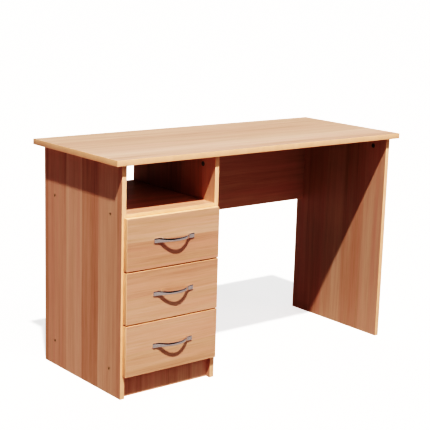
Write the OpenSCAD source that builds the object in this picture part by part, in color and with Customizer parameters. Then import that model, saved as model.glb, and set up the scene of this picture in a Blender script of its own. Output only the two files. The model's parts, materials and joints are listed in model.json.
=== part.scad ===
// Writing desk: a worktop on three side panels, with an open niche and three drawers on the left
// and a knee space on the right. Laminated 16 mm boards with glued edge bands, joined by
// confirmat screws and cam fittings; each drawer runs on a pair of roller runners.
// X points right, Y to the back, Z up. The origin is on the floor, under the middle of the
// whole desk. The front faces -Y.

/* [Desk] */
// Width of the worktop
desk_w = 1200; // [1000:10:1500]
// Depth of the worktop
desk_d = 490; // [480:5:600]
// Height of the worktop's upper face above the floor
desk_h = 750; // [740:5:800]
// Thickness of the worktop
worktop_t = 18; // [16:1:25]
// Thickness of every other board
board_t = 16; // [15:0.5:18]
// Thickness of the glued edge bands
band_t = 1; // [0.5:0.5:2]
// How far the worktop reaches past the side panels, left and right
side_overhang = 30; // [10:1:60]
// How far the worktop reaches past the front edges of the side panels
front_overhang = 18; // [18:1:30]
// How far the worktop reaches past the back edges of the side panels
back_overhang = 22; // [10:1:22]

/* [Pedestal] */
// Width over the pedestal's two side panels
pedestal_w = 366; // [340:1:450]
// Height of the kick plate, which carries the base panel
kick_h = 76; // [60:1:76]
// How far the kick plate stands behind the panels' front edges
kick_recess = 18; // [10:1:60]
// Height of the niche shelf's upper face above the floor
shelf_top = 582; // [582:1:600]
// Lower edge of the bottom drawer front above the floor
fronts_low = 74; // [70:1:76]
// Upper edge of the top drawer front above the floor
fronts_high = 571; // [570:1:574]
// Gap between one drawer front and the next
front_gap = 4; // [2:0.5:4]
// How far a drawer front covers the front edge of each side panel
front_cover = 8; // [5:0.5:12]
// Gap between a closed drawer front and the side panels' front edges
close_gap = 1; // [0.5:0.5:2]

/* [Knee space] */
// Height of the modesty panel
modesty_h = 289; // [150:1:400]
// How far the modesty panel stands in front of the side panels' back edges
modesty_inset = 15; // [5:1:40]

/* [Drawer boxes] */
// Depth of the drawer boxes and of their runners
box_d = 400; // [350:10:400]
// Height of the drawer box sides
box_h = 120; // [90:5:120]
// Space between a drawer box side and the side panel, filled by the runner
runner_gap = 12.5; // [12.5:0.1:13]
// Thickness of the hardboard bottoms and of the pedestal's back
hardboard_t = 3; // [2.5:0.5:4]
// Depth of the groove that holds a drawer bottom
groove_d = 6; // [4:1:6]
// Height of the groove above the drawer side's lower edge
groove_z = 10; // [8:1:15]
// Height of the runner above the drawer front's lower edge
runner_rise = 24; // [22:1:26]
// How far a drawer pulls out
travel = 300; // [200:5:300]

/* [Handles] */
// Distance between the two handle screws
handle_pitch = 128; // [96:32:128]
// How far a handle stands out from the drawer front
handle_out = 25; // [22:1:32]
// Height of the handle's bow
bow_h = 10; // [6:1:12]
// Thickness of the handle's bow
bow_t = 4; // [3:0.5:5]
// Height of the handle's feet
foot_h = 15; // [12:1:18]
// Length of the handle's feet
foot_l = 25; // [20:1:26]
// How far a handle's middle lies above the middle of the drawer front
handle_rise = 3.5; // [0:0.5:10]

/* [Hidden] */
$fn = 64;
over = 1;              // how far a cutter reaches past the face that it cuts
LEVELS = ["bottom", "middle", "top"];
SIDES = ["left", "right"];
DESK_PARTS = ["worktop", "worktop_edge_bands", "left_side_panel", "middle_side_panel",
    "right_side_panel", "panel_edge_bands", "niche_shelf", "base_panel", "kick_plate",
    "modesty_panel", "pedestal_back_panel", "confirmat_screws", "worktop_cam_locks",
    "worktop_cam_bolts", "cabinet_runner_screws"];
DRAWER_PARTS = ["front", "front_edge_bands", "left_side", "right_side", "back", "bottom",
    "handle", "handle_screws", "fasteners", "left_runner", "right_runner", "rollers"];

// Colours
beech = "#d8a97e";
band = "#e8cd9c";
hardboard = "#b98a5e";
chrome = "#c4c4c8";
zinc = "#a9abac";
white_steel = "#e9e8e2";
nylon = "#f4f3ee";

// Worktop and side panels
front_face_out = board_t + close_gap - front_overhang;   // drawer fronts past the worktop's edge
y_worktop = (desk_d - front_face_out - handle_out) / -2; // worktop's front edge
y_worktop_back = y_worktop + desk_d;
y_panel = y_worktop + front_overhang;                    // side panels' front edges
y_panel_back = y_worktop_back - back_overhang;
panel_h = desk_h - worktop_t;
x_left = side_overhang - desk_w / 2;                     // left face of the left panel
x_niche = x_left + board_t;
x_middle = x_left + pedestal_w - board_t;                // left face of the middle panel
x_knee = x_middle + board_t;
x_right = desk_w / 2 - side_overhang - board_t;          // left face of the right panel
niche_w = x_middle - x_niche;
x_pedestal = (x_niche + x_middle) / 2;                   // middle of the pedestal
y_modesty = y_panel_back - modesty_inset - board_t;
z_shelf = shelf_top - board_t;
z_modesty = panel_h - modesty_h;

// Drawers, counted from the bottom
front_w = pedestal_w - 2 * front_cover;
front_h = (fronts_high - fronts_low - 2 * front_gap) / 3;
y_front = y_panel - close_gap - board_t;                 // face of the drawer fronts
y_box = y_front + board_t;                               // drawer box, behind the front
y_box_back = y_box + box_d;
box_w = niche_w - 2 * runner_gap;
x_box = x_pedestal - box_w / 2;
function z_front(i) = fronts_low + i * (front_h + front_gap);
function z_runner(i) = z_front(i) + runner_rise;
function z_box(i) = z_runner(i) + sheet_t + sole_z;
function z_handle(i) = z_front(i) + front_h / 2 + handle_rise;

// Runners: sizes across, measured from the side panel towards the drawer, and up from the runner
sheet_t = 1.2;         // steel sheet
channel_h = 22.4;      // cabinet channel
flange_w = 10.7;       // its flanges
sole_z = 1;            // underside of the drawer runner's sole
sole_w = 14;           // sole under the drawer side
ledge_z = 18.5;        // underside of the drawer runner's ledge, above the cabinet roller
ledge_gap = 2.5;       // from the side panel to the ledge
roller_w = 6;
roller_play = 0.3;     // between a roller and its track
cabinet_roller_r = (ledge_z - sheet_t) / 2 - roller_play;
drawer_roller_r = 9.35;
axle_r = 2;
axle_play = 0.05;      // radial, between an axle and its roller
boss_r = 3;            // spacer and rivet head of an axle
rivet_t = 0.8;
cabinet_boss = 2;      // spacer between the cabinet channel and its roller
drawer_boss = 1.1;     // spacer between the drawer runner and its roller
side_play = 0.2;       // beside a roller
stop_h = 3;            // bump that stops the drawer roller
stop_l = 4;
channel_inset = 2;     // from the side panels' front edges
cabinet_roller_inset = 13;                               // from the channel's front end
drawer_roller_inset = 12;                                // from the drawer runner's back end
ledge_end_gap = 2;     // between the ledge's back end and the drawer roller
y_channel = y_panel + channel_inset;
y_cabinet_roller = y_channel + cabinet_roller_inset;
y_drawer_roller = y_box_back - drawer_roller_inset;
z_cabinet_roller = sheet_t + roller_play + cabinet_roller_r;
z_drawer_roller = sheet_t + roller_play + drawer_roller_r;
stop_rise = drawer_roller_r + roller_play - stop_h;      // roller's axis above the stop's top
y_stop = y_drawer_roller - travel - roller_play
    - sqrt(drawer_roller_r * drawer_roller_r - stop_rise * stop_rise) - stop_l;
runner_screw_y = [45, box_d / 2, box_d - 40];            // along the cabinet channel
sole_screw_y = [60, box_d - 60];                         // along the drawer side

// Fasteners
screw_inset = 63;      // confirmats and cams, from a panel's front or back edge
modesty_screw_low = 40;                                  // above the modesty panel's lower edge
modesty_screw_high = 60;                                 // below the worktop
drawer_screw_share = [0.4, 0.8];                         // of the height of a drawer's side
cam_r = 7.5;
cam_depth = 12.5;
cam_edge = 34;         // from a board's end to the cam
cam_bolt_r = 3.5;
cam_play = 0.1;        // around the bolt, in the cam
cam_bolt_bite = 11;    // depth of the bolt in the other board
cam_slot = [9, 1.8, 1.5];
confirmat_l = 48;
confirmat_head_r = 5;
confirmat_neck_r = 3.5;
confirmat_tip_r = 2.5;
confirmat_head_t = 3;  // rim and cone together
confirmat_rim_t = 1;
hex_key = 4.6;
band_joint = 0.1;      // between one edge band's end and the next
wood_screw_r = 1.75;
wood_screw_l = 15;
wood_screw_head_r = 3.25;
wood_screw_head_t = 1.4;
handle_screw_r = 2;
handle_screw_bite = 5; // thread in the handle's foot
handle_screw_head_r = 4;
handle_screw_head_t = 2.5;
handle_foot_t = 6;
bow_set_in = 6;        // from a handle screw to the end of the bow's middle line
back_inset = 2;        // from the pedestal's outer faces to the edges of its hardboard back

// Confirmats in the desk: [place of the head, direction of the tip]
confirmat_y = [y_panel + screw_inset, y_panel_back - screw_inset];
modesty_screw_z = [z_modesty + modesty_screw_low, panel_h - modesty_screw_high];
CONFIRMATS = concat(
    [for (y = confirmat_y) for (z = [z_shelf + board_t / 2, kick_h + board_t / 2])
        for (s = [-1, 1]) [[x_pedestal - s * pedestal_w / 2, y, z], [s, 0, 0]]],
    [for (z = modesty_screw_z) [[x_middle, y_modesty + board_t / 2, z], [1, 0, 0]]],
    [for (z = modesty_screw_z) [[x_right + board_t, y_modesty + board_t / 2, z], [-1, 0, 0]]],
    [for (s = [-1, 1]) [[x_pedestal + s * niche_w / 3, y_panel + kick_recess + board_t / 2,
        kick_h + board_t], [0, 0, -1]]]);
// Cams under the worktop: [face of the panel, direction into it], at two places along each panel
CAM_FACES = [[x_niche, -1], [x_middle, 1], [x_right, 1]];
worktop_cam_z = panel_h - cam_edge;

// General shapes
module board(x, y, z, w, d, h) translate([x, y, z]) cube([w, d, h]);

// Turns a shape that points along +Z so that it points along v, one of the six axis directions
module along(v) {
    if (v[0] != 0) rotate([0, 90 * v[0], 0]) children();
    else if (v[1] != 0) rotate([-90 * v[1], 0, 0]) children();
    else rotate([v[2] < 0 ? 180 : 0, 0, 0]) children();
}

// Confirmat screw with its head flush at the origin; extra lengthens the head of a cutter
module confirmat(extra = 0) {
    translate([0, 0, -extra]) cylinder(r = confirmat_head_r, h = confirmat_rim_t + extra);
    translate([0, 0, confirmat_rim_t]) cylinder(r1 = confirmat_head_r, r2 = confirmat_neck_r,
        h = confirmat_head_t - confirmat_rim_t);
    cylinder(r = confirmat_neck_r, h = board_t);
    cylinder(r = confirmat_tip_r, h = confirmat_l);
}

module confirmat_with_socket() {
    difference() {
        confirmat();
        translate([0, 0, -over]) cylinder(d = hex_key, h = over + confirmat_head_t, $fn = 6);
    }
}

module confirmat_holes() {
    for (c = CONFIRMATS) translate(c[0]) along(c[1]) confirmat(extra = over);
}

// Cam housing with its face at the origin, reaching along +Z into the board
module cam_hole() translate([0, 0, -over]) cylinder(r = cam_r, h = cam_depth + over);

module cam_lock() {
    difference() {
        cylinder(r = cam_r, h = cam_depth);
        for (turn = [0, 90]) rotate([0, 0, turn])
            translate([-cam_slot[0] / 2, -cam_slot[1] / 2, -over])
                cube([cam_slot[0], cam_slot[1], cam_slot[2] + over]);
    }
}

// Cam bolt along +Z, from inside the cam to its end in the other board
module cam_bolt(play = 0) translate([0, 0, -play])
    cylinder(r = cam_bolt_r + play, h = cam_edge + cam_bolt_bite + play);

module worktop_cams_at() {
    for (f = CAM_FACES) for (y = confirmat_y)
        translate([f[0], y, worktop_cam_z]) along([f[1], 0, 0]) children();
}

module worktop_bolts(play = 0) {
    for (f = CAM_FACES) for (y = confirmat_y)
        translate([f[0] + f[1] * board_t / 2, y, worktop_cam_z]) cam_bolt(play);
}

// Countersunk or pan-headed screw with the underside of its head at the origin
module wood_screw() {
    translate([0, 0, -wood_screw_head_t]) cylinder(r = wood_screw_head_r, h = wood_screw_head_t);
    cylinder(r = wood_screw_r, h = wood_screw_l - wood_screw_head_t);
}

// Desk boards
module worktop() color(beech) difference() {
    board(band_t - desk_w / 2, y_worktop + band_t, panel_h,
        desk_w - 2 * band_t, desk_d - 2 * band_t, worktop_t);
    worktop_bolts();
}

module worktop_edge_bands() color(band) {
    for (s = [-1, 1]) {
        board(s * (desk_w / 2 - band_t / 2) - band_t / 2, y_worktop, panel_h,
            band_t, desk_d, worktop_t);
        board(band_t + band_joint - desk_w / 2, s < 0 ? y_worktop : y_worktop_back - band_t,
            panel_h, desk_w - 2 * (band_t + band_joint), band_t, worktop_t);
    }
}

module side_panel(x) color(beech) difference() {
    board(x, y_panel + band_t, 0, board_t, y_panel_back - y_panel - 2 * band_t, panel_h);
    confirmat_holes();
    worktop_cams_at() cam_hole();
    worktop_bolts();
    for (i = [0:2]) for (s = [-1, 1]) cabinet_runner_screws_at(i, s) wood_screw();
}

module panel_edge_bands() color(band) {
    for (x = [x_left, x_middle, x_right]) for (y = [y_panel, y_panel_back - band_t])
        board(x, y, 0, board_t, band_t, panel_h);
    for (z = [z_shelf, kick_h])
        board(x_niche + band_joint, y_panel, z, niche_w - 2 * band_joint, band_t, board_t);
    board(x_knee, y_modesty, z_modesty, x_right - x_knee, board_t, band_t);
}

module pedestal_board(z) color(beech) difference() {
    board(x_niche, y_panel + band_t, z, niche_w, y_panel_back - y_panel - band_t, board_t);
    confirmat_holes();
}

module kick_plate() color(beech) difference() {
    board(x_niche, y_panel + kick_recess, 0, niche_w, board_t, kick_h);
    confirmat_holes();
}

module modesty_panel() color(beech) difference() {
    board(x_knee, y_modesty, z_modesty + band_t, x_right - x_knee, board_t, modesty_h - band_t);
    confirmat_holes();
}

module pedestal_back_panel() color(hardboard)
    board(x_left + back_inset, y_panel_back, kick_h, pedestal_w - 2 * back_inset, hardboard_t,
        shelf_top - kick_h);

// Desk fasteners
module confirmat_screws() color(zinc)
    for (c = CONFIRMATS) translate(c[0]) along(c[1]) confirmat_with_socket();

module worktop_cam_locks() color(zinc) difference() {
    worktop_cams_at() cam_lock();
    worktop_bolts(cam_play);
}

module worktop_cam_bolts() color(zinc) worktop_bolts();

// Places a shape in the cross-section of drawer i's runner on side s (-1 left, 1 right):
// X from the side panel towards the drawer, Z up from the runner's underside
module on_runner(i, s) {
    translate([s < 0 ? x_niche : x_middle, 0, z_runner(i)])
        if (s < 0) children(); else mirror([1, 0, 0]) children();
}

module cabinet_runner_screws_at(i, s) on_runner(i, s)
    for (y = runner_screw_y) translate([sheet_t, y_channel + y, channel_h / 2])
        rotate([0, -90, 0]) children();

module cabinet_runner_screws() color(zinc)
    for (i = [0:2]) for (s = [-1, 1]) cabinet_runner_screws_at(i, s) wood_screw();

// Axle with a spacer at its root and a riveted head, along +X from the origin
module axle(boss) rotate([0, 90, 0]) {
    cylinder(r = boss_r, h = boss);
    cylinder(r = axle_r, h = boss + roller_w + 2 * side_play + rivet_t);
    translate([0, 0, boss + roller_w + 2 * side_play]) cylinder(r = boss_r, h = rivet_t);
}

module roller(r) rotate([0, 90, 0]) difference() {
    cylinder(r = r, h = roller_w);
    translate([0, 0, -over]) cylinder(r = axle_r + axle_play, h = roller_w + 2 * over);
}

module cabinet_runner(i, s) color(white_steel) on_runner(i, s) difference() {
    union() {
        board(0, y_channel, 0, sheet_t, box_d, channel_h);
        for (z = [0, channel_h - sheet_t]) board(0, y_channel, z, flange_w, box_d, sheet_t);
        board(0, y_stop, 0, flange_w, stop_l, sheet_t + stop_h);
        translate([sheet_t, y_cabinet_roller, z_cabinet_roller]) axle(cabinet_boss);
    }
    for (y = runner_screw_y) translate([-over, y_channel + y, channel_h / 2])
        rotate([0, 90, 0]) cylinder(r = wood_screw_r, h = sheet_t + 2 * over);
}

module cabinet_rollers(i) color(nylon) for (s = [-1, 1]) on_runner(i, s)
    translate([sheet_t + cabinet_boss + side_play, y_cabinet_roller, z_cabinet_roller])
        roller(cabinet_roller_r);

// Drawer boards
module drawer_front(i) color(beech) difference() {
    board(x_pedestal - front_w / 2 + band_t, y_front, z_front(i) + band_t,
        front_w - 2 * band_t, board_t, front_h - 2 * band_t);
    drawer_bottom_sheet(i);
    handle_screws_at(i) cylinder(r = handle_screw_r, h = board_t + over);
    drawer_bolts(i);
}

module drawer_front_edge_bands(i) color(band)
    translate([x_pedestal - front_w / 2, y_front, z_front(i)]) for (far = [0, 1]) {
        translate([far * (front_w - band_t), 0, 0]) cube([band_t, board_t, front_h]);
        translate([band_t + band_joint, 0, far * (front_h - band_t)])
            cube([front_w - 2 * (band_t + band_joint), board_t, band_t]);
    }

module drawer_side(i, s) color(beech) difference() {
    board(s < 0 ? x_box : x_box + box_w - board_t, y_box, z_box(i), board_t, box_d, box_h);
    drawer_bottom_sheet(i);
    drawer_cams_at(i) cam_hole();
    drawer_bolts(i);
    drawer_confirmats_at(i) confirmat(extra = over);
    sole_screws_at(i) wood_screw();
}

module drawer_back(i) color(beech) difference() {
    board(x_box + board_t, y_box_back - board_t, z_box(i) + groove_z + hardboard_t,
        box_w - 2 * board_t, board_t, box_h - groove_z - hardboard_t);
    drawer_confirmats_at(i) confirmat();
}

module drawer_bottom_sheet(i) board(x_box + board_t - groove_d, y_box - groove_d,
    z_box(i) + groove_z, box_w - 2 * (board_t - groove_d), box_d + groove_d, hardboard_t);

module drawer_bottom(i) color(hardboard) drawer_bottom_sheet(i);

// Drawer fasteners: one cam fitting joins each side to the front, two confirmats join it to the
// back, and two screws hold it on its runner
module drawer_cams_at(i) for (s = [-1, 1])
    translate([x_box + box_w / 2 + s * box_w / 2, y_box + cam_edge, z_box(i) + box_h / 2])
        along([-s, 0, 0]) children();

module drawer_bolts(i, play = 0) for (s = [-1, 1])
    translate([x_box + box_w / 2 + s * (box_w - board_t) / 2, y_box + cam_edge,
        z_box(i) + box_h / 2]) along([0, -1, 0]) cam_bolt(play);

module drawer_confirmats_at(i) for (s = [-1, 1]) for (z = drawer_screw_share)
    translate([x_box + box_w / 2 + s * box_w / 2, y_box_back - board_t / 2,
        z_box(i) + z * box_h]) along([-s, 0, 0]) children();

module sole_screws_at(i) for (s = [-1, 1]) for (y = sole_screw_y)
    translate([x_box + box_w / 2 + s * (box_w - board_t) / 2, y_box + y, z_box(i) - sheet_t])
        children();

module drawer_fasteners(i) color(zinc) {
    difference() {
        drawer_cams_at(i) cam_lock();
        drawer_bolts(i, cam_play);
    }
    drawer_bolts(i);
    drawer_confirmats_at(i) confirmat_with_socket();
    sole_screws_at(i) wood_screw();
}

// Drawer runner: a sole under the drawer side, a web beside it and a ledge over the cabinet roller
module drawer_runner(i, s) color(white_steel) difference() {
    on_runner(i, s) {
        board(runner_gap - sheet_t, y_box, sole_z, sole_w, box_d, sheet_t);
        board(runner_gap - sheet_t, y_box, sole_z, sheet_t, box_d, ledge_z + sheet_t - sole_z);
        board(ledge_gap, y_channel, ledge_z, runner_gap - ledge_gap,
            y_drawer_roller - drawer_roller_r - ledge_end_gap - y_channel, sheet_t);
        translate([runner_gap - sheet_t, y_drawer_roller, z_drawer_roller])
            mirror([1, 0, 0]) axle(drawer_boss);
    }
    sole_screws_at(i) cylinder(r = wood_screw_r, h = sheet_t);
}

module drawer_rollers(i) color(nylon) for (s = [-1, 1]) on_runner(i, s)
    translate([runner_gap - sheet_t - drawer_boss - side_play - roller_w, y_drawer_roller,
        z_drawer_roller]) roller(drawer_roller_r);

// Handles: a flat bow in plan, an arc between two feet, with a screw through the front into each
module handle_screws_at(i) for (s = [-1, 1])
    translate([x_pedestal + s * handle_pitch / 2, y_front, z_handle(i)])
        rotate([-90, 0, 0]) children();

module handle_screws(i) color(zinc) handle_screws_at(i) {
    translate([0, 0, -handle_screw_bite]) cylinder(r = handle_screw_r,
        h = handle_screw_bite + board_t);
    translate([0, 0, board_t]) cylinder(r = handle_screw_head_r, h = handle_screw_head_t);
}

// Plan of the bow: X along the drawer front, Y out from it
module bow_plan() {
    half_chord = handle_pitch / 2 - bow_set_in;
    rise = handle_out - bow_t / 2;
    arc_r = (half_chord * half_chord + rise * rise) / (2 * rise);
    intersection() {
        translate([0, rise - arc_r]) difference() {
            circle(r = arc_r + bow_t / 2, $fn = 180);
            circle(r = arc_r - bow_t / 2, $fn = 180);
        }
        translate([-handle_pitch, 0]) square([2 * handle_pitch, 2 * handle_out]);
    }
}

// Plan of a foot: its outer corner is round
module foot_plan() translate([handle_pitch / 2 - foot_l / 2, 0]) {
    square([foot_l - handle_foot_t, handle_foot_t]);
    intersection() {
        translate([foot_l - handle_foot_t, 0]) circle(r = handle_foot_t);
        square([foot_l, handle_foot_t]);
    }
}

module handle(i) color(chrome) difference() {
    translate([x_pedestal, y_front, z_handle(i)]) rotate([180, 0, 0]) {
        translate([0, 0, -bow_h / 2]) linear_extrude(bow_h) bow_plan();
        for (s = [0, 1]) mirror([s, 0, 0])
            translate([0, 0, -foot_h / 2]) linear_extrude(foot_h) foot_plan();
    }
    handle_screws_at(i) translate([0, 0, -handle_screw_bite])
        cylinder(r = handle_screw_r, h = handle_screw_bite + over);
}

worktop();
worktop_edge_bands();
side_panel(x_left);  // left_side_panel
side_panel(x_middle);  // middle_side_panel
side_panel(x_right);  // right_side_panel
panel_edge_bands();
pedestal_board(z_shelf);  // niche_shelf
pedestal_board(kick_h);  // base_panel
kick_plate();
modesty_panel();
pedestal_back_panel();
confirmat_screws();
worktop_cam_locks();
worktop_cam_bolts();
cabinet_runner_screws();
for (i = [0:2]) for (s = [0, 1])
    cabinet_runner(i, 2 * s - 1);
for (i = [0:2])
    cabinet_rollers(i);
for (i = [0:2]) {
    prefix = str(LEVELS[i], "_drawer_");
    drawer_front(i);
    drawer_front_edge_bands(i);
    drawer_side(i, -1);
    drawer_side(i, 1);
    drawer_back(i);
    drawer_bottom(i);
    handle(i);
    handle_screws(i);
    drawer_fasteners(i);
    drawer_runner(i, -1);
    drawer_runner(i, 1);
    drawer_rollers(i);
}
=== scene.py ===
"""Looks of a writing desk with drawers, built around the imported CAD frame. Lengths are in metres."""
import json
import math

import bmesh
import bpy
from mathutils import Matrix, Vector


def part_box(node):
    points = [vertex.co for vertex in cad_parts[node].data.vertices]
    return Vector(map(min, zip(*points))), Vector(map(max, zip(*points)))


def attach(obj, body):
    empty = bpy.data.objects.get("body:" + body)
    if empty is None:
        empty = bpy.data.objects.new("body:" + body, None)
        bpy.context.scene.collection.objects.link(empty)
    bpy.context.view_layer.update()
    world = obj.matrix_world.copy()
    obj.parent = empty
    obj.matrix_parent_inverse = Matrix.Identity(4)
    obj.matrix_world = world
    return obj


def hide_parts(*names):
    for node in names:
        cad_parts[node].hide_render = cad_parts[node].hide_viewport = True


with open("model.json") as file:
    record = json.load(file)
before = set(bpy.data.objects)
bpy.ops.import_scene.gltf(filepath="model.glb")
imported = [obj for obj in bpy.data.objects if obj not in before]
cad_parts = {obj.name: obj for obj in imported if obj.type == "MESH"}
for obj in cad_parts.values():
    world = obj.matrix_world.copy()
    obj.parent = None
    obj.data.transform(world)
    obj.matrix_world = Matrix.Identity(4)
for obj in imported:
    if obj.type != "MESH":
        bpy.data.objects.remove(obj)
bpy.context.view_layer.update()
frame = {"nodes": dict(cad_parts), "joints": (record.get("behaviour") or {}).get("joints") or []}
NODES = frame["nodes"]
MM = 0.001
LEVELS = ("bottom", "middle", "top")
SIDES = ("left", "right")
X, Z = Vector((1, 0, 0)), Vector((0, 0, 1))


# ---------------------------------------------------------------- material helpers
class Tree:
    """The node tree of a material or of the world, with a short call for each kind of node."""

    def __init__(self, owner):
        self.owner = owner
        owner.use_nodes = True
        self.nodes = owner.node_tree.nodes
        self.links = owner.node_tree.links
        self.nodes.clear()

    def put(self, socket, value):
        """Links a socket to another one, or sets it to a number, a vector or a colour."""
        if isinstance(value, bpy.types.NodeSocket):
            self.links.new(value, socket)
        elif hasattr(socket.default_value, "__len__") and not isinstance(value, (int, float)):
            value = tuple(value)
            size = len(socket.default_value)
            socket.default_value = value + (1.0,) if len(value) < size else value
        else:
            socket.default_value = value

    def node(self, kind, inputs=(), **settings):
        made = self.nodes.new(kind)
        for key, value in settings.items():
            setattr(made, key, value)
        for key, value in dict(inputs).items():
            self.put(made.inputs[key], value)
        return made

    def place(self):
        return self.node("ShaderNodeTexCoord").outputs["Object"]

    def split(self, vector):
        return self.node("ShaderNodeSeparateXYZ", {0: vector}).outputs

    def join(self, x, y, z):
        return self.node("ShaderNodeCombineXYZ", {0: x, 1: y, 2: z}).outputs[0]

    def math(self, operation, a, b=0.0, c=0.0):
        inputs = {0: a, 1: b, 2: c}
        return self.node("ShaderNodeMath", inputs, operation=operation).outputs[0]

    def scale(self, vector, factors):
        inputs = {0: vector, 1: factors}
        return self.node("ShaderNodeVectorMath", inputs, operation="MULTIPLY").outputs[0]

    def noise(self, vector, scale, detail=3.0, roughness=0.5, distortion=0.0):
        inputs = {"Vector": vector, "Scale": scale, "Detail": detail,
                  "Roughness": roughness, "Distortion": distortion}
        return self.node("ShaderNodeTexNoise", inputs).outputs[0]

    def fit(self, value, low, high, to_low=0.0, to_high=1.0):
        inputs = {0: value, 1: low, 2: high, 3: to_low, 4: to_high}
        return self.node("ShaderNodeMapRange", inputs).outputs[0]

    def sway(self, value, amount, base):
        """The base, moved up or down by a noise value about its middle."""
        return self.math("MULTIPLY_ADD", self.math("SUBTRACT", value, 0.5), amount, base)

    def mix(self, factor, a, b):
        """A colour between a and b."""
        made = self.node("ShaderNodeMix", data_type="RGBA")
        for index, value in ((0, factor), (6, a), (7, b)):
            self.put(made.inputs[index], value)
        return made.outputs[2]

    def bump(self, height, distance, strength):
        inputs = {"Height": height, "Distance": distance, "Strength": strength}
        return self.node("ShaderNodeBump", inputs).outputs[0]

    def surface(self, **sockets):
        """Ends a material with its shader, whose sockets are named with _ for a space."""
        inputs = {key.replace("_", " "): value for key, value in sockets.items()}
        shader = self.node("ShaderNodeBsdfPrincipled", inputs)
        self.node("ShaderNodeOutputMaterial", {"Surface": shader.outputs[0]})
        return self.owner


def material_tree(name):
    return Tree(bpy.data.materials.new(name))


# ---------------------------------------------------------------- materials
# Beech decor, from its palest tone to its darkest one, and its pink streaks
BEECH_LIGHT = (0.75, 0.50, 0.37)
BEECH_MID = (0.63, 0.37, 0.255)
BEECH_DARK = (0.45, 0.225, 0.14)
BEECH_PINK = (0.70, 0.36, 0.28)
BAND_COLOUR = (0.91, 0.58, 0.395)
BAND_DARKER = (0.83, 0.52, 0.345)
CORE_LIGHT, CORE_DARK = (0.52, 0.35, 0.23), (0.27, 0.165, 0.10)
HARDBOARD_LIGHT, HARDBOARD_DARK = (0.48, 0.30, 0.185), (0.38, 0.23, 0.135)
COAT_CLEAN, COAT_DIRTY = (0.80, 0.80, 0.77), (0.66, 0.65, 0.61)
NYLON_LIGHT, NYLON_DARK = (0.84, 0.83, 0.79), (0.70, 0.69, 0.64)
STAVE_WIDTH = 0.098
STAVE_WANDER = 0.010                        # how far a stave's edges wander
WANDER_ALONG, WANDER_SIDE = 2.5, 4.0        # waves per metre of that
STAVE_RANDOMNESS = 0.45                     # of the staves' widths
STAVES_PER_METRE = 7.3      # how many staves the decor moves on for a metre of a board's depth
STREAK_SHIFT = 37.0         # how many streak lengths the streaks of two staves differ by at most
DECOR_TONE = 0.45           # 0 is BEECH_LIGHT, 0.5 is BEECH_MID and 1 is BEECH_DARK
PINK_SHARE, PORE_SHARE = 0.5, 0.25          # how much they show
EDGE_ROUGHNESS = 0.85


def chipboard_colour(tree, place):
    """Sawn core of a board: flakes of a few millimetres in mixed browns."""
    flakes = tree.node("ShaderNodeTexVoronoi", {"Vector": place, "Scale": 420.0})
    tone = tree.split(flakes.outputs["Color"])[0]
    fine = tree.noise(place, 1400.0, detail=4.0)
    return tree.mix(tree.math("MULTIPLY_ADD", fine, 0.5, tone), CORE_LIGHT, CORE_DARK)


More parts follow.
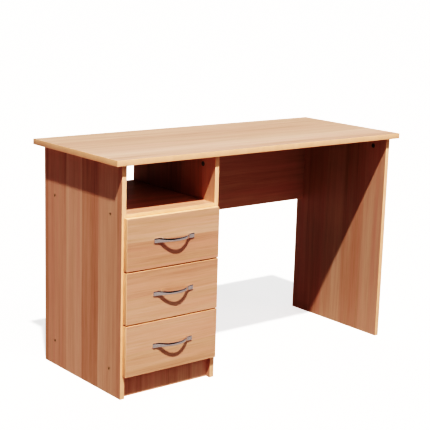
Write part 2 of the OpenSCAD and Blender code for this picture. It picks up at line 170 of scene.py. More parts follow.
def laminate(name, grain, face, start=0.0, contrast=0.85, shade=(1.0, 1.0, 1.0),
             stave=STAVE_WIDTH, edged=False):
    """Beech decor on a board: full-length staves of slightly different tones, with streaks, fine
    grain and pores. grain and face are axis numbers: along the grain, and across the board's
    thickness. start is the stave where the decor begins, contrast is how much the staves differ,
    and shade tints them; on the worktop, shelf, kick plate and fronts that tint is partly painted
    light, set for how each of those boards is lit. An edged board has thin edging on its upper
    edge; its other edges show the sawn core."""
    tree = material_tree(name)
    place = tree.place()
    axes = tree.split(place)
    along, side, depth = axes[grain], axes[3 - grain - face], axes[face]
    wander = tree.noise(tree.join(tree.math("MULTIPLY", along, WANDER_ALONG),
                                  tree.math("MULTIPLY", side, WANDER_SIDE), depth), 1.0, detail=2.0)
    bent = tree.math("MULTIPLY_ADD", wander, STAVE_WANDER, side)
    stave_place = tree.math("ADD", tree.math("DIVIDE", bent, stave), start)
    stave_place = tree.math("MULTIPLY_ADD", depth, STAVES_PER_METRE, stave_place)
    staves = tree.node("ShaderNodeTexVoronoi",
                       {"W": stave_place, "Scale": 1.0, "Randomness": STAVE_RANDOMNESS},
                       voronoi_dimensions="1D")
    stave_tone, stave_hue, stave_offset = tree.split(staves.outputs["Color"])

    def streak(length, width, detail=2.0, roughness=0.5):
        """Noise that is stretched along the grain, to streaks of about this length and width.
        Each stave has its own."""
        ahead = tree.math("MULTIPLY_ADD", stave_offset, STREAK_SHIFT,
                          tree.math("DIVIDE", along, length))
        spread = tree.math("DIVIDE", bent, width)
        return tree.noise(tree.join(ahead, spread, tree.math("DIVIDE", depth, width)), 1.0, detail,
                          roughness)

    broad = streak(length=0.9, width=0.045)
    medium = streak(length=0.45, width=0.014, detail=3.0)
    fine = streak(length=0.16, width=0.0035, detail=3.0, roughness=0.6)
    hair = streak(length=0.05, width=0.0011)
    pores = tree.fit(streak(length=0.007, width=0.0005), 0.62, 0.74)
    tone = tree.sway(stave_tone, contrast, DECOR_TONE)
    for part, weight in ((broad, 0.70), (medium, 0.55), (fine, 0.62), (hair, 0.42)):
        tone = tree.sway(part, weight, tone)
    colour = tree.mix(tree.fit(tone, 0.0, 0.5), BEECH_LIGHT, BEECH_MID)
    colour = tree.mix(tree.fit(tone, 0.5, 1.0), colour, BEECH_DARK)
    pink = tree.math("MULTIPLY_ADD", stave_hue, 0.3, streak(length=0.7, width=0.022))
    pink = tree.fit(pink, 0.55, 0.95)
    colour = tree.mix(tree.math("MULTIPLY", pink, PINK_SHARE), colour, BEECH_PINK)
    colour = tree.mix(tree.math("MULTIPLY", pores, PORE_SHARE), colour, BEECH_DARK)
    colour = tree.scale(colour, shade)

    normal = tree.split(tree.node("ShaderNodeTexCoord").outputs["Normal"])
    on_edge = tree.math("LESS_THAN", tree.math("ABSOLUTE", normal[face]), 0.5)
    edge_colour = chipboard_colour(tree, place)
    if edged:
        on_top = tree.math("GREATER_THAN", normal[2], 0.5)
        edge_colour = tree.mix(on_top, edge_colour, tree.mix(medium, BAND_COLOUR, BAND_DARKER))
    colour = tree.mix(on_edge, colour, edge_colour)
    sheen = tree.fit(medium, 0.3, 0.7, 0.36, 0.44)
    rough = tree.math("MAXIMUM", sheen, tree.math("MULTIPLY", on_edge, EDGE_ROUGHNESS))
    height = tree.math("SUBTRACT", fine, tree.math("MULTIPLY", pores, 0.7))
    return tree.surface(Base_Color=colour, Roughness=rough, Specular_IOR_Level=0.5,
                        Normal=tree.bump(height, 0.1 * MM, 0.5))


def edge_band():
    """Plastic edging, pale beech with faint streaks."""
    tree = material_tree("edge_band")
    place = tree.place()
    streaks = tree.noise(place, 25.0, detail=5.0, roughness=0.6, distortion=0.4)
    speckle = tree.noise(place, 2600.0, detail=2.0)
    colour = tree.mix(tree.fit(streaks, 0.3, 0.7), BAND_COLOUR, BAND_DARKER)
    return tree.surface(Base_Color=colour, Roughness=tree.fit(streaks, 0.3, 0.7, 0.32, 0.42),
                        Normal=tree.bump(speckle, 0.04 * MM, 0.5))


def hardboard():
    """Pressed fibres, smooth and matt, with short scattered hairs."""
    tree = material_tree("hardboard")
    place = tree.place()
    cloud = tree.noise(place, 30.0, detail=4.0, roughness=0.6)
    fibres = tree.noise(tree.scale(place, (1.0, 1.0, 0.4)), 1500.0, detail=4.0, roughness=0.7,
                        distortion=1.5)
    tone = tree.math("MULTIPLY_ADD", cloud, 0.5, tree.math("MULTIPLY", fibres, 0.6))
    colour = tree.mix(tree.fit(tone, 0.35, 0.75), HARDBOARD_LIGHT, HARDBOARD_DARK)
    return tree.surface(Base_Color=colour, Roughness=tree.fit(fibres, 0.3, 0.7, 0.62, 0.78),
                        Normal=tree.bump(fibres, 0.08 * MM, 0.6))


def metal(name, colour, darker, rough, grain_scale, grain_height):
    """Plated metal: its polish varies a little, and dulls in faint clouds."""
    tree = material_tree(name)
    place = tree.place()
    clouds = tree.noise(place, 60.0, detail=4.0, roughness=0.6)
    fine = tree.noise(place, grain_scale)
    shade = tree.mix(tree.fit(clouds, 0.35, 0.75), colour, darker)
    return tree.surface(Base_Color=shade, Metallic=1.0,
                        Roughness=tree.fit(clouds, 0.3, 0.75, *rough),
                        Normal=tree.bump(fine, grain_height, 0.4))


def coated_steel():
    """White epoxy powder coat with its orange-peel skin."""
    tree = material_tree("runner_steel")
    place = tree.place()
    peel = tree.noise(place, 900.0, detail=2.0)
    dirt = tree.noise(place, 40.0, detail=4.0, roughness=0.6)
    colour = tree.mix(tree.fit(dirt, 0.5, 0.8), COAT_CLEAN, COAT_DIRTY)
    return tree.surface(Base_Color=colour, Roughness=tree.fit(dirt, 0.3, 0.8, 0.28, 0.40),
                        Coat_Weight=0.15, Normal=tree.bump(peel, 0.05 * MM, 0.5))


def nylon():
    """Moulded nylon, slightly cloudy, which lets a little light in."""
    tree = material_tree("nylon")
    place = tree.place()
    cloud = tree.noise(place, 220.0)
    colour = tree.mix(tree.fit(cloud, 0.3, 0.8), NYLON_LIGHT, NYLON_DARK)
    return tree.surface(Base_Color=colour, Roughness=tree.fit(cloud, 0.3, 0.8, 0.42, 0.55),
                        Subsurface_Weight=0.1, Subsurface_Radius=(2 * MM, 2 * MM, 2 * MM),
                        Normal=tree.bump(cloud, 0.03 * MM, 0.4))


UPRIGHT = laminate("laminate_upright_side", grain=2, face=0, start=94.73, contrast=0.7,
                   shade=(1.0, 1.03, 1.07))
# Painted light in part: the kick plate's decor is lightened a little, for the sun that partly reaches
# it.
UPRIGHT_FRONT = laminate("laminate_upright_front", grain=2, face=1, shade=(1.03, 1.03, 1.08))
# Painted light in part: the worktop's tint makes it paler and bluer than the other boards, as painted
# sheen for the room's reflection at a low angle, and holds back its red for the strong light on its
# top.
TOP_BOARD = laminate("laminate_worktop", grain=0, face=2, contrast=0.4,
                     shade=(0.92, 1.05, 1.125))
# Painted light in part: the shelf and base are lightened above the other boards, to the brightness of
# the shelf's sunlit strip.
SHELF_BOARD = laminate("laminate_shelf", grain=0, face=2, contrast=0.4, shade=(1.04, 1.08, 1.10))
# Painted shade in part: the drawer fronts and the modesty panel are darkened below the other boards,
# to offset the sky light on the fronts.
CROSS_FRONT = laminate("laminate_cross_front", grain=0, face=1, start=138.58, contrast=0.42,
                       shade=(0.93, 0.955, 0.99), stave=0.086)
BOX_SIDE = laminate("laminate_drawer_side", grain=1, face=0, edged=True)
BOX_BACK = laminate("laminate_drawer_back", grain=0, face=1, edged=True)
BAND = edge_band()
HARDBOARD = hardboard()
CHROME = metal("chrome", (0.80, 0.80, 0.82), (0.70, 0.70, 0.73), rough=(0.05, 0.12),
               grain_scale=1500.0, grain_height=0.01 * MM)
ZINC = metal("zinc", (0.62, 0.63, 0.64), (0.48, 0.49, 0.51), rough=(0.28, 0.42),
             grain_scale=1800.0, grain_height=0.03 * MM)
BROWN_ZINC = metal("brown_zinc", (0.66, 0.50, 0.35), (0.52, 0.39, 0.26), rough=(0.3, 0.45),
                   grain_scale=1800.0, grain_height=0.03 * MM)
# The cam locks' zinc is darkened below its own grey: painted shade, for the black that the cams show
# in the shadow under the worktop.
ZINC_WITH_PAINTED_SHADE = metal("zinc_with_painted_shade", (0.32, 0.31, 0.30), (0.20, 0.19, 0.18), rough=(0.35, 0.5),
                  grain_scale=900.0, grain_height=0.04 * MM)
STEEL = coated_steel()
NYLON = nylon()


# ---------------------------------------------------------------- mesh helpers
def unit(k):
    """The unit vector along axis number k."""
    return Vector([float(i == k) for i in range(3)])


def extent(points):
    """The low and the high corner of the box around some points."""
    low = Vector([min(p[k] for p in points) for k in range(3)])
    high = Vector([max(p[k] for p in points) for k in range(3)])
    return low, high


def average(points):
    """The mean place of some points, rounded to 0.1 mm."""
    return tuple(round(sum(p[k] for p in points) / len(points), 4) for k in range(3))


def solids(node):
    """The separate solids of a CAD node, each as the list of its points, in order of place."""
    mesh = bmesh.new()
    mesh.from_mesh(NODES[node].data)
    bmesh.ops.remove_doubles(mesh, verts=mesh.verts, dist=1e-6)
    left, found = set(mesh.verts), []
    while left:
        stack = [left.pop()]
        points = []
        while stack:
            vert = stack.pop()
            points.append(vert.co.copy())
            for edge in vert.link_edges:
                other = edge.other_vert(vert)
                if other in left:
                    left.remove(other)
                    stack.append(other)
        found.append(points)
    mesh.free()
    return sorted(found, key=average)


def face_outwards(mesh):
    """Turns the faces of a closed bmesh outwards."""
    bmesh.ops.recalc_face_normals(mesh, faces=mesh.faces)
    if mesh.calc_volume(signed=True) < 0:
        bmesh.ops.reverse_faces(mesh, faces=mesh.faces)


def finish_piece(name, mesh, materials, body, replaced, smooth_angle=35):
    """Makes one piece of the object from a bmesh that was put together with add."""
    data = bpy.data.meshes.new(name)
    mesh.to_mesh(data)
    mesh.free()
    for material in materials:
        data.materials.append(material)
    piece = bpy.data.objects.new(name, data)
    bpy.context.scene.collection.objects.link(piece)
    data.shade_smooth()
    data.set_sharp_from_angle(angle=math.radians(smooth_angle))
    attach(piece, body)
    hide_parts(*replaced)


def add(target, source, matrix=None, material=0):
    """Copies a closed bmesh into another one, with its faces turned outwards."""
    face_outwards(source)
    data = bpy.data.meshes.new("part")
    source.to_mesh(data)
    if matrix is not None:
        data.transform(matrix)
    before = len(target.faces)
    target.from_mesh(data)
    target.faces.ensure_lookup_table()
    for face in target.faces[before:]:
        face.material_index = material
    bpy.data.meshes.remove(data)


def rounded_box(low, high, radius, outward=None):
    """A box whose edges are rounded: all of them, or those around its outward face."""
    mesh = bmesh.new()
    bmesh.ops.create_cube(mesh, size=1.0)
    middle, size = (Vector(low) + Vector(high)) / 2, Vector(high) - Vector(low)
    for vert in mesh.verts:
        vert.co = middle + Vector([vert.co[k] * size[k] for k in range(3)])
    edges = mesh.edges[:]
    if outward is not None:
        reach = max(v.co.dot(outward) for v in mesh.verts) - 1e-6
        edges = [e for e in edges if all(v.co.dot(outward) > reach for v in e.verts)]
    bmesh.ops.bevel(mesh, geom=edges, offset=radius, segments=3, profile=0.5, affect="EDGES")
    return mesh


def skin(mesh, rings):
    """Joins each ring of a mesh to the next one with faces, and closes both ends. All rings have
    the same number of points."""
    count = len(rings[0])
    for one, two in zip(rings, rings[1:]):
        for k in range(count):
            n = (k + 1) % count
            mesh.faces.new((one[k], one[n], two[n], two[k]))
    mesh.faces.new(rings[0][::-1])
    mesh.faces.new(rings[-1])


def lathe(profile, segments):
    """A solid of revolution about Z. profile is [(radius, height)] from its start to its end on
    the axis, or round a ring if it ends where it began."""
    mesh = bmesh.new()
    angles = [2 * math.pi * k / segments for k in range(segments)]
    rings = []
    for radius, height in profile:
        if radius < 1e-9:
            rings.append([mesh.verts.new((0, 0, height))])
            continue
        rings.append([mesh.verts.new((radius * math.cos(a), radius * math.sin(a), height))
                      for a in angles])
    for low, high in zip(rings, rings[1:]):
        for k in range(segments):
            n = (k + 1) % segments
            corners = [low[k % len(low)], low[n % len(low)], high[n % len(high)],
                       high[k % len(high)]]
            mesh.faces.new(list(dict.fromkeys(corners)))
    if len(rings[0]) > 1 and profile[0] == profile[-1]:
        bmesh.ops.remove_doubles(mesh, verts=mesh.verts, dist=1e-7)
    return mesh


def extrude_profile(outline, start, end):
    """An outline in X and Z, stretched along Y from start to end."""
    mesh = bmesh.new()
    near = [mesh.verts.new((x, start, z)) for x, z in outline]
    far = [mesh.verts.new((x, end, z)) for x, z in outline]
    skin(mesh, [near, far])
    return mesh


def bent_sheet(corners, thickness, radius, steps=4):
    """Outline of a folded steel sheet: its middle line has a round bend at each inner corner."""
    line = [Vector(corners[0])]
    for before, corner, after in zip(corners, corners[1:], corners[2:]):
        corner = Vector(corner)
        back = (Vector(before) - corner).normalized()
        on = (Vector(after) - corner).normalized()
        centre = corner + (back + on) * radius
        for k in range(steps + 1):
            turn = math.pi / 2 * k / steps
            line.append(centre - on * radius * math.cos(turn) - back * radius * math.sin(turn))
    line.append(Vector(corners[-1]))
    left, right = [], []
    for k, point in enumerate(line):
        ahead = line[min(k + 1, len(line) - 1)] - line[max(k - 1, 0)]
        normal = Vector((-ahead.y, ahead.x)).normalized() * thickness / 2
        left.append(tuple(point + normal))
        right.append(tuple(point - normal))
    return left + right[::-1]


def cut(mesh, cutters):
    """Cuts bmeshes from a bmesh and returns the result."""
    scene = bpy.context.scene
    made = []
    for source in [mesh, *cutters]:
        data = bpy.data.meshes.new("cut")
        face_outwards(source)
        source.to_mesh(data)
        source.free()
        made.append(bpy.data.objects.new("cut", data))
        scene.collection.objects.link(made[-1])
    for cutter in made[1:]:
        modifier = made[0].modifiers.new("cut", "BOOLEAN")
        modifier.operation = "DIFFERENCE"
        modifier.solver = "EXACT"
        modifier.object = cutter
    result = bmesh.new()
    depsgraph = bpy.context.evaluated_depsgraph_get()
    result.from_object(made[0], depsgraph)
    for item in made:
        data = item.data
        bpy.data.objects.remove(item)
        bpy.data.meshes.remove(data)
    bmesh.ops.dissolve_degenerate(result, edges=result.edges, dist=1e-7)
    return result


def turned(point, direction):
    """The matrix that puts a shape made along +Z at a point, along a direction."""
    return Matrix.Translation(point) @ direction.to_track_quat("Z", "Y").to_matrix().to_4x4()


# ---------------------------------------------------------------- boards
BOARD_MATERIALS = {
    "worktop": TOP_BOARD, "left_side_panel": UPRIGHT, "middle_side_panel": UPRIGHT,
    "right_side_panel": UPRIGHT, "niche_shelf": SHELF_BOARD, "base_panel": SHELF_BOARD,
    "kick_plate": UPRIGHT_FRONT, "modesty_panel": CROSS_FRONT,
    "pedestal_back_panel": HARDBOARD, "worktop_cam_locks": ZINC_WITH_PAINTED_SHADE,
}
for level in LEVELS:
    BOARD_MATERIALS.update({
        f"{level}_drawer_front": CROSS_FRONT, f"{level}_drawer_left_side": BOX_SIDE,
        f"{level}_drawer_right_side": BOX_SIDE, f"{level}_drawer_back": BOX_BACK,
        f"{level}_drawer_bottom": HARDBOARD, f"{level}_drawer_fasteners": ZINC,
    })
for node, material in BOARD_MATERIALS.items():
    for slot in NODES[node].material_slots:
        slot.material = material


# ---------------------------------------------------------------- edge bands
BAND_ROUND = 0.45 * MM    # radius of a band's outer edges


def band_strips(node, body, home):
    """Edge bands in place of a CAD node's plain strips. Their outer face is the one that looks
    away from home, and its edges are rounded."""
    mesh = bmesh.new()
    for points in solids(node):
        low, high = extent(points)
        size = high - low
        k = min(range(3), key=lambda i: size[i])
        outward = unit(k) if (low + high)[k] / 2 > home[k] else -unit(k)
        add(mesh, rounded_box(low, high, BAND_ROUND, outward))
    finish_piece(node + "_rounded", mesh, [BAND], body, [node])


def centre(node):
    """The middle of a CAD node's box."""
    low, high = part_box(node)
    return (low + high) / 2


band_strips("worktop_edge_bands", "desk", centre("worktop"))
# The panels' bands look to the front, to the back or down, so their home is under the worktop's top
panel_home = centre("left_side_panel")
panel_home.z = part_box("worktop")[1].z
band_strips("panel_edge_bands", "desk", panel_home)
for level in LEVELS:
    band_strips(f"{level}_drawer_front_edge_bands", f"{level}_drawer", centre(f"{level}_drawer_front"))


# ---------------------------------------------------------------- fasteners
PAN_DOME = ((0.55, 0.06), (0.86, 0.3), (1.0, 0.72), (1.0, 1.0))   # shares of radius and height
THREAD_ROOT, THREAD_CREST = 0.55, 0.78    # shares of the pitch where its root ends and its crest is


def screw_frames(node):
    """(head, direction of the tip, length) of each screw in a CAD node."""
    found = []
    for points in solids(node):
        low, high = extent(points)
        size = high - low
        k = max(range(3), key=lambda i: size[i])
        middle = (low + high) / 2
        wide = {end: max((p - middle).cross(unit(k)).length for p in points
                         if abs(p[k] - end) < 1e-5) for end in (low[k], high[k])}
        head_low = wide[low[k]] > wide[high[k]]
        head = middle.copy()
        head[k] = low[k] if head_low else high[k]
        found.append((head, unit(k) if head_low else -unit(k), size[k]))
    return found


def hex_socket(across, depth):
    """Hexagonal socket, as a cutter."""
    corner = across / math.sqrt(3)
    return lathe([(0, depth), (corner, depth), (corner, -MM), (0, -MM)], segments=6)


def cross_socket(width, slot, depth, taper=0.45):
    """Two tapered slots, as cutters for a cross-head screw."""
    cutters = []
    for turn in (0, math.pi / 2):
        cutter = rounded_box((-width / 2, -slot / 2, -MM), (width / 2, slot / 2, depth), slot / 5,
                             Z)
        for vert in cutter.verts:
            if vert.co.z > depth / 2:
                vert.co.x *= taper
        bmesh.ops.rotate(cutter, verts=cutter.verts, matrix=Matrix.Rotation(turn, 3, "Z"))
        cutters.append(cutter)
    return cutters


def thread(start, end, outer, root, pitch):
    """Profile of a thread, as rings of the given pitch."""
    points = []
    for k in range(int((end - start) / pitch)):
        base = start + k * pitch
        points += [(root, base), (root, base + THREAD_ROOT * pitch),
                   (outer, base + THREAD_CREST * pitch)]
    return points + [(root, end)]


def confirmat(length):
    """Confirmat screw along +Z, its countersunk head flush with Z = 0."""
    head, shank, shank_end = 5.0 * MM, 3.5 * MM, 15.0 * MM
    profile = [(0, 0), (head - 0.4 * MM, 0), (head, 0.3 * MM), (head, 1.0 * MM),
               (shank, 3.0 * MM), (shank, shank_end)]
    profile += thread(shank_end + 0.5 * MM, length - 3.0 * MM, outer=2.5 * MM, root=1.9 * MM,
                      pitch=2.8 * MM)
    profile += [(0, length)]
    return cut(lathe(profile, segments=32), [hex_socket(across=4.2 * MM, depth=4.5 * MM)])


def pan_head(radius, height, shank, length, pitch):
    """Pan-head screw along +Z; the underside of its head is at Z = height."""
    profile = [(0, 0)] + [(radius * out, height * up) for out, up in PAN_DOME] + [(shank, height)]
    profile += thread(height + 0.6 * MM, length - 2.0 * MM, shank, shank * 0.74, pitch)
    profile += [(0, length)]
    return cut(lathe(profile, segments=28), cross_socket(radius, radius * 0.24, height * 0.62))


def runner_screw(length):
    return pan_head(3.2 * MM, 1.4 * MM, 1.7 * MM, length, pitch=1.5 * MM)


def handle_screw(length):
    return pan_head(4.0 * MM, 2.5 * MM, 1.95 * MM, length, pitch=0.8 * MM)


def cam_bolt(length):
    """Bolt of a cam fitting along +Z: a ball head in the cam, a collar and a coarse thread."""
    ball, neck, collar = 3.4 * MM, 1.6 * MM, 3.2 * MM
    profile = [(0, 0), (2.6 * MM, 0.4 * MM), (ball, 1.8 * MM), (ball, 3.2 * MM),
               (neck, 5.0 * MM), (neck, 8.5 * MM), (collar, 10.0 * MM), (collar, length - 12.0 * MM)]
    profile += thread(length - 11.5 * MM, length - 1.0 * MM, outer=3.45 * MM, root=2.2 * MM,
                      pitch=2.2 * MM)
    profile += [(0, length)]
    return lathe(profile, segments=28)


def place_screws(name, node, make, material, body):
    """Screws in place of those of a CAD node; make builds one of a given length."""
    mesh = bmesh.new()
    made = {}
    for head, direction, length in screw_frames(node):
        key = round(length, 5)
        if key not in made:
            made[key] = make(length)
        add(mesh, made[key], turned(head, direction))
    finish_piece(name, mesh, [material], body, [node])


def place_cam_bolts(name, node):
    """Upright cam bolts in place of those of a CAD node."""
    mesh = bmesh.new()
    for points in solids(node):
        low, high = extent(points)
        foot = Vector(((low.x + high.x) / 2, (low.y + high.y) / 2, low.z))
        add(mesh, cam_bolt(high.z - low.z), Matrix.Translation(foot))
    finish_piece(name, mesh, [ZINC], "desk", [node])


place_screws("confirmat_screw_set", "confirmat_screws", confirmat, BROWN_ZINC, "desk")
place_screws("cabinet_runner_screw_set", "cabinet_runner_screws", runner_screw, ZINC, "desk")
for level in LEVELS:
    place_screws(f"{level}_handle_screw_pair", f"{level}_drawer_handle_screws", handle_screw,
                 ZINC, f"{level}_drawer")
place_cam_bolts("worktop_cam_bolt_set", "worktop_cam_bolts")


# ---------------------------------------------------------------- handles
BOW_HEIGHT, BOW_THICKNESS = 10.0 * MM, 5.0 * MM
FOOT_LENGTH = 18.5 * MM       # from where the bow's middle line meets the drawer to the handle's end
FOOT_THICKNESS = 4.8 * MM
FOOT_THINNER = 1.2 * MM       # how much of that a foot loses towards its end
FOOT_SLOPE = 24.0 * MM        # the stretch where it does
WIDENING = 34.0 * MM          # the stretch of the bow that widens to a foot
END_RADIUS = 2.6 * MM
FOOT_BLEND, UNDER_BLEND = 5.0 * MM, 1.2 * MM     # how softly bow and foot meet, outside and inside
HANDLE_STATIONS, HANDLE_CORNERS = 96, 28


def smooth_step(value, low, high):
    """0 up to low and 1 from high on, with a soft rise between them."""
    t = min(max((value - low) / (high - low), 0.0), 1.0)
    return t * t * (3 - 2 * t)


def smooth_max(a, b, blend):
    """The larger of two values, with a soft change where they differ by less than blend."""
    h = max(blend - abs(a - b), 0.0) / blend
    return max(a, b) + h * h * blend / 4


def handle_section(x, length, reach, foot_height):
    """A cross-section of a bow handle: where it begins and ends in front of the drawer, its height,
    and how far it has turned from bow to foot."""
    half = length / 2
    bow_half = half - FOOT_LENGTH
    rise = reach - BOW_THICKNESS / 2
    arc = (bow_half ** 2 + rise ** 2) / (2 * rise)
    low = math.sqrt(max((arc - BOW_THICKNESS / 2) ** 2 - x * x, 0)) - (arc - rise)
    high = math.sqrt(max((arc + BOW_THICKNESS / 2) ** 2 - x * x, 0)) - (arc - rise)
    inner = smooth_max(low, 0.0, UNDER_BLEND) if low >= -UNDER_BLEND / 2 else 0.0
    end_round = math.sqrt(max(1 - (1 - min((half - abs(x)) / END_RADIUS, 1)) ** 2, 0))
    foot = FOOT_THICKNESS - FOOT_THINNER * smooth_step(abs(x), half - FOOT_SLOPE, half)
    outer = smooth_max(high, foot, FOOT_BLEND) * end_round if low < 0 else high
    wide = smooth_step(abs(x), bow_half - WIDENING, bow_half + 2.0 * MM)
    height = (BOW_HEIGHT + (foot_height - BOW_HEIGHT) * wide) * (0.72 + 0.28 * end_round)
    return inner, outer, height, wide


def rounded_cosine(value, power):
    """A cosine or sine value, raised to a power with its sign kept."""
    return math.copysign(abs(value) ** power, value)


def handle_mesh(length, reach, foot_height):
    """Bow handle: X along it, -Y out of the drawer front, Z up; its feet stand on Y = 0."""
    mesh = bmesh.new()
    rings = []
    for k in range(HANDLE_STATIONS + 1):
        x = -length / 2 * math.cos(math.pi * k / HANDLE_STATIONS)
        inner, outer, height, wide = handle_section(x, length, reach, foot_height)
        middle, depth = (inner + outer) / 2, max((outer - inner) / 2, 0.02 * MM)
        power = 1.0 - 0.35 * wide
        ring = []
        for c in range(HANDLE_CORNERS):
            a = 2 * math.pi * c / HANDLE_CORNERS
            y = middle + rounded_cosine(math.cos(a), power) * depth
            z = rounded_cosine(math.sin(a), power) * height / 2
            ring.append(mesh.verts.new((x, -y, z)))
        rings.append(ring)
    skin(mesh, rings)
    return mesh


def bow_handle(level):
    """Bow handle in place of a drawer's CAD handle."""
    node = f"{level}_drawer_handle"
    low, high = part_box(node)
    size = high - low
    mesh = bmesh.new()
    place = Vector(((low.x + high.x) / 2, high.y, (low.z + high.z) / 2))
    add(mesh, handle_mesh(size.x, size.y, size.z), Matrix.Translation(place))
    finish_piece(f"{level}_bow_handle", mesh, [CHROME], f"{level}_drawer",
                 [node], smooth_angle=50)


for level in LEVELS:
    bow_handle(level)


# ---------------------------------------------------------------- roller runners
SHEET = 1.2 * MM                # thickness of the runners' steel
BEND = 1.3 * MM                 # radius of its bends
RUNNER_GAP = 12.5 * MM          # between a side panel and a drawer box
SLOT_PLACES = (0.22, 0.38, 0.62, 0.78)       # shares of a cabinet runner's length
SLOT_HALF_LENGTH, SLOT_HALF_HEIGHT = 6.0 * MM, 2.0 * MM
AXLE_RADIUS, RIVET_RADIUS, RIVET_HEAD = 2.0 * MM, 3.0 * MM, 0.8 * MM
STOP_LENGTH, STOP_HEIGHT = 4.0 * MM, 3.0 * MM
STOP_REACH = 0.72               # share of a roller's radius, from its centre to the stop
LIP_END = 3.0 * MM              # how far behind the rail's front end its upper lip begins
LIP_GAP = 2.0 * MM              # between the lip and the roller
TRAVEL = frame["joints"][0]["range_m"][1]


def rivet(boss, length):
    """Riveted axle along +Z, with a boss at its foot and a domed head at its far end."""
    return lathe([(0, 0), (RIVET_RADIUS, 0), (RIVET_RADIUS, boss), (AXLE_RADIUS, boss),
                  (AXLE_RADIUS, length - RIVET_HEAD), (RIVET_RADIUS, length - RIVET_HEAD),
                  (2.7 * MM, length - 0.35 * MM), (1.6 * MM, length - 0.06 * MM), (0, length)],
                 segments=28)


def wheel(radius, width, bore):
    """Nylon roller along +Z: rounded rim, dished sides and a hub."""
    edge, dish, hub = 0.5 * MM, 0.7 * MM, bore + 1.3 * MM
    rim = radius - 1.6 * MM
    side = [(bore, 0), (hub, 0), (hub + 0.4 * MM, dish), (rim - 0.4 * MM, dish), (rim, 0),
            (radius - edge, 0), (radius - 0.3 * edge, 0.3 * edge), (radius, edge)]
    other = [(r, width - z) for r, z in reversed(side)]
    return lathe(side + other + [side[0]], segments=48)


def slotted(mesh, places, z):
    """Cuts oblong mounting slots through the upright web of a cabinet runner."""
    cutters = [rounded_box((-MM, y - SLOT_HALF_LENGTH, z - SLOT_HALF_HEIGHT),
                           (2.0 * MM, y + SLOT_HALF_LENGTH, z + SLOT_HALF_HEIGHT), 0.1 * MM)
               for y in places]
    return cut(mesh, cutters)


def runner_stop(width, end):
    """Stop on a cabinet runner's sole. The drawer's roller comes up to its end."""
    base, top, corner = SHEET / 2, SHEET + STOP_HEIGHT, 0.6 * MM
    return extrude_profile([(SHEET, base), (width, base), (width, top - corner), (width - MM, top),
                            (SHEET, top)], end - STOP_LENGTH, end)


def panel_face(level, side):
    """The face of the side panel that carries a runner: its place along X."""
    low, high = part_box(f"{level}_cabinet_runner_{side}")
    return low.x if side == "left" else high.x


def from_panel(mesh, side, face):
    """Moves a runner shape, whose X is the distance from the side panel, to the panel's face. On
    the right this mirrors it, so its faces are turned round again."""
    for vert in mesh.verts:
        vert.co.x = face + vert.co.x if side == "left" else face - vert.co.x
    if side == "right":
        bmesh.ops.reverse_faces(mesh, faces=mesh.faces)


def cabinet_channel(level, side, drawer_roller):
    """Steel channel on a side panel, with slots, a stop and the axle of its own roller."""
    node = f"{level}_cabinet_runner_{side}"
    low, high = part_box(node)
    face = panel_face(level, side)
    width, tall, half = high.x - low.x, high.z - low.z, SHEET / 2
    outline = bent_sheet([(width, tall - half), (half, tall - half), (half, half), (width, half)],
                         SHEET, BEND)
    places = [low.y + (high.y - low.y) * share for share in SLOT_PLACES]
    mesh = bmesh.new()
    add(mesh, slotted(extrude_profile(outline, low.y, high.y), places, tall / 2))
    centres = [sum(extent(points), Vector()) / 2 for points in solids(f"{level}_cabinet_rollers")]
    axle = min(centres, key=lambda place: abs(place.x - face))
    add(mesh, rivet(boss=2.0 * MM, length=9.2 * MM),
        turned(Vector((SHEET, axle.y, axle.z - low.z)), X), material=1)
    roller_low, roller_high = drawer_roller
    radius = (roller_high.y - roller_low.y) / 2
    end = (roller_low.y + roller_high.y) / 2 - TRAVEL - STOP_REACH * radius
    add(mesh, runner_stop(width, end))
    from_panel(mesh, side, face)
    bmesh.ops.translate(mesh, verts=mesh.verts, vec=(0, 0, low.z))
    finish_piece(f"{node}_channel", mesh, [STEEL, ZINC], "desk", [node])


def drawer_rail(level, side, drawer_roller):
    """Steel rail under a drawer side, with its sole, an upper lip and the axle of its roller."""
    node = f"{level}_drawer_{side}_runner"
    low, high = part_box(node)
    face = panel_face(level, side)
    near, far = sorted(abs(x - face) for x in (low.x, high.x))
    half = SHEET / 2
    web, sole, lip = RUNNER_GAP - half, low.z + half, high.z - half
    lipped = bent_sheet([(far, sole), (web, sole), (web, lip), (near, lip)], SHEET, BEND)
    plain = bent_sheet([(far, sole), (web, sole), (web, high.z)], SHEET, BEND)
    roller_low, roller_high = drawer_roller
    lip_start, lip_end = low.y + LIP_END, roller_low.y - LIP_GAP
    mesh = bmesh.new()
    add(mesh, extrude_profile(lipped, lip_start, lip_end))
    add(mesh, extrude_profile(plain, low.y, lip_start))
    add(mesh, extrude_profile(plain, lip_end, high.y))
    _, y, z = (roller_low + roller_high) / 2
    add(mesh, rivet(boss=1.1 * MM, length=8.3 * MM), turned(Vector((web - half, y, z)), -X),
        material=1)
    from_panel(mesh, side, face)
    finish_piece(f"{node}_rail", mesh, [STEEL, ZINC], f"{level}_drawer", [node])


def roller_pair(node, body):
    """Nylon rollers in place of those of a CAD node."""
    mesh = bmesh.new()
    for points in solids(node):
        low, high = extent(points)
        start = Vector((low.x, (low.y + high.y) / 2, (low.z + high.z) / 2))
        roller = wheel((high.y - low.y) / 2, high.x - low.x, bore=AXLE_RADIUS + 0.05 * MM)
        add(mesh, roller, turned(start, X))
    finish_piece(f"{node}_turned", mesh, [NYLON], body, [node])


for level in LEVELS:
    drawer_roller = extent(solids(f"{level}_drawer_rollers")[0])
    for side in SIDES:
        cabinet_channel(level, side, drawer_roller)
        drawer_rail(level, side, drawer_roller)
    roller_pair(f"{level}_cabinet_rollers", f"{level}_cabinet_roller_pair")
    roller_pair(f"{level}_drawer_rollers", f"{level}_drawer_roller_pair")


# ---------------------------------------------------------------- stage
CAMERA_AT = (-2.4073, -2.9418, 1.3059)
CAMERA_YAW, CAMERA_PITCH, CAMERA_ROLL = 38.784, 12.315, 1.649
CAMERA_LENS, SENSOR = 94.77, 36.0
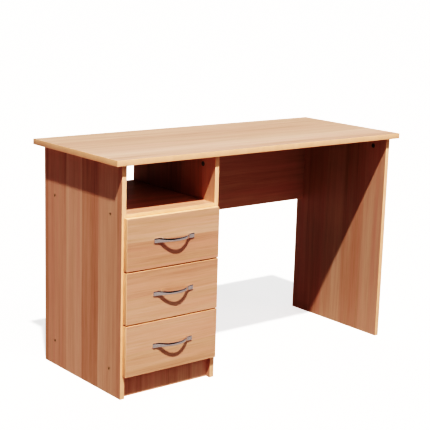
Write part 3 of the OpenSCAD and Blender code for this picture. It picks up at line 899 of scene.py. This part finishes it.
# Light from the sun and from four large soft panels: the way it travels, its strength, its spread
# in degrees and its colour. The front and left panels shine up through the floor, which casts no
# shadow, in place of the light that a real floor sends back.
KEY_LIGHT = ((0.26, 0.50, -1.0), 4.85, 1.6, (1.0, 0.97, 0.92))
FILL_LIGHTS = {"front": ((0.0, 1.0, 0.22), 0.40, 30.0, (1.0, 0.60, 0.68)),
               "left": ((1.0, 0.0, 0.15), 0.43, 30.0, (1.0, 0.43, 0.43)),
               "sky": ((0.1, 0.8, -0.6), 0.62, 50.0, (1.0, 0.97, 0.95)),
               "back": ((-0.6, -0.8, -0.05), 1.0, 80.0, (1.0, 0.96, 0.92))}
FLOOR_HALF = 400.0
FLOOR_LIGHTER, FLOOR_DARKER = 0.20, 0.18    # what the desk gets back from the floor
FLOOR_SEEN, FLOOR_SEEN_GLOW = 0.75, 0.8     # what the camera sees of it
FLOOR_MIRRORED = (0.20, 0.13, 0.11)         # its glow in the desk's reflections
WALL_PALE, WALL_DARK, CEILING = 0.25, 0.02, 0.09
PALE_TO_RIGHT, PALE_TO_BACK = 0.95, 0.40    # the way that the pale wall lies
WALL_CHANGE, CEILING_CHANGE = (-0.25, 0.55), (0.35, 0.85)    # how far that way, and how far up
TONE_CURVE = ((0.05, 0.004), (0.10, 0.018), (0.18, 0.09), (0.26, 0.20), (0.40, 0.395),
              (0.60, 0.59), (0.80, 0.73), (1.10, 0.86))
WHITE_LEVEL = 2.0


def grey(value):
    return (value, value, value)


def ray_is(tree, kind):
    """1 for rays of this kind, such as those of the camera, and 0 for others."""
    return tree.nodes.new("ShaderNodeLightPath").outputs[f"Is {kind} Ray"]


def show(name, data):
    """Puts an object that belongs to the stage into the scene."""
    made = bpy.data.objects.new(name, data)
    bpy.context.scene.collection.objects.link(made)
    return made


def floor():
    """A pale floor that the camera sees nearly white, with the desk's shadow softened on it."""
    data = bpy.data.meshes.new("floor")
    corners = [(FLOOR_HALF * x, FLOOR_HALF * y, 0) for x, y in ((-1, -1), (1, -1), (1, 1), (-1, 1))]
    data.from_pydata(corners, [], [(0, 1, 2, 3)])
    tree = material_tree("floor")
    cloud = tree.noise(tree.place(), 3.0)
    seen = ray_is(tree, "Camera")
    colour = tree.mix(cloud, grey(FLOOR_LIGHTER), grey(FLOOR_DARKER))
    data.materials.append(tree.surface(
        Base_Color=tree.mix(seen, colour, grey(FLOOR_SEEN)), Roughness=0.8, Specular_IOR_Level=0.2,
        Emission_Color=tree.mix(seen, FLOOR_MIRRORED, grey(FLOOR_SEEN_GLOW)),
        Emission_Strength=tree.math("MAXIMUM", seen, ray_is(tree, "Glossy"))))
    piece = show("floor", data)
    piece.visible_shadow = False


def room():
    """Surroundings: white to the camera; to the desk a pale wall at the back and on the right, a
    dark one in front and on the left, and a soft ceiling."""
    tree = Tree(bpy.data.worlds.new("room"))
    x, y, z = tree.split(tree.node("ShaderNodeTexCoord").outputs["Generated"])
    pale_way = tree.math("MULTIPLY_ADD", x, PALE_TO_RIGHT, tree.math("MULTIPLY", y, PALE_TO_BACK))
    wall = tree.fit(pale_way, *WALL_CHANGE, WALL_DARK, WALL_PALE)
    tone = tree.mix(tree.fit(z, *CEILING_CHANGE), tree.join(wall, wall, wall), grey(CEILING))
    lit = tree.node("ShaderNodeBackground", {"Color": tone})
    white = tree.node("ShaderNodeBackground", {"Color": grey(1.0), "Strength": WHITE_LEVEL})
    both = tree.node("ShaderNodeMixShader", {0: ray_is(tree, "Camera"), 1: lit.outputs[0],
                                             2: white.outputs[0]})
    tree.node("ShaderNodeOutputWorld", {"Surface": both.outputs[0]})
    bpy.context.scene.world = tree.owner


def light(name, travels, strength, spread, colour):
    """A light from far away, as the sun is or as a large soft panel is if its spread is wide."""
    data = bpy.data.lights.new(name, "SUN")
    data.energy, data.color, data.angle = strength, colour, math.radians(spread)
    made = show(name, data)
    made.rotation_euler = Vector(travels).to_track_quat("-Z", "Y").to_euler()
    return made


def grade():
    """Deepens the shadows a little and holds the brightest tones back."""
    view = bpy.context.scene.view_settings
    view.view_transform = "Standard"
    view.use_curve_mapping = True
    view.curve_mapping.white_level = grey(WHITE_LEVEL)
    curve = view.curve_mapping.curves[3]
    for position, value in TONE_CURVE:
        curve.points.new(position / WHITE_LEVEL, value)
    view.curve_mapping.update()


def camera():
    """Looks at the desk from its front left, from a little above."""
    lens = bpy.data.cameras.new("camera")
    lens.sensor_width, lens.lens = SENSOR, CAMERA_LENS
    made = show("camera", lens)
    made.matrix_world = (Matrix.Translation(CAMERA_AT)
                         @ Matrix.Rotation(math.radians(-CAMERA_YAW), 4, "Z")
                         @ Matrix.Rotation(math.radians(90 - CAMERA_PITCH), 4, "X")
                         @ Matrix.Rotation(math.radians(CAMERA_ROLL), 4, "Z"))
    bpy.context.scene.camera = made


floor()
room()
light("key", *KEY_LIGHT)
for name, facts in FILL_LIGHTS.items():
    light(f"fill_{name}", *facts).visible_glossy = False
camera()
grade()
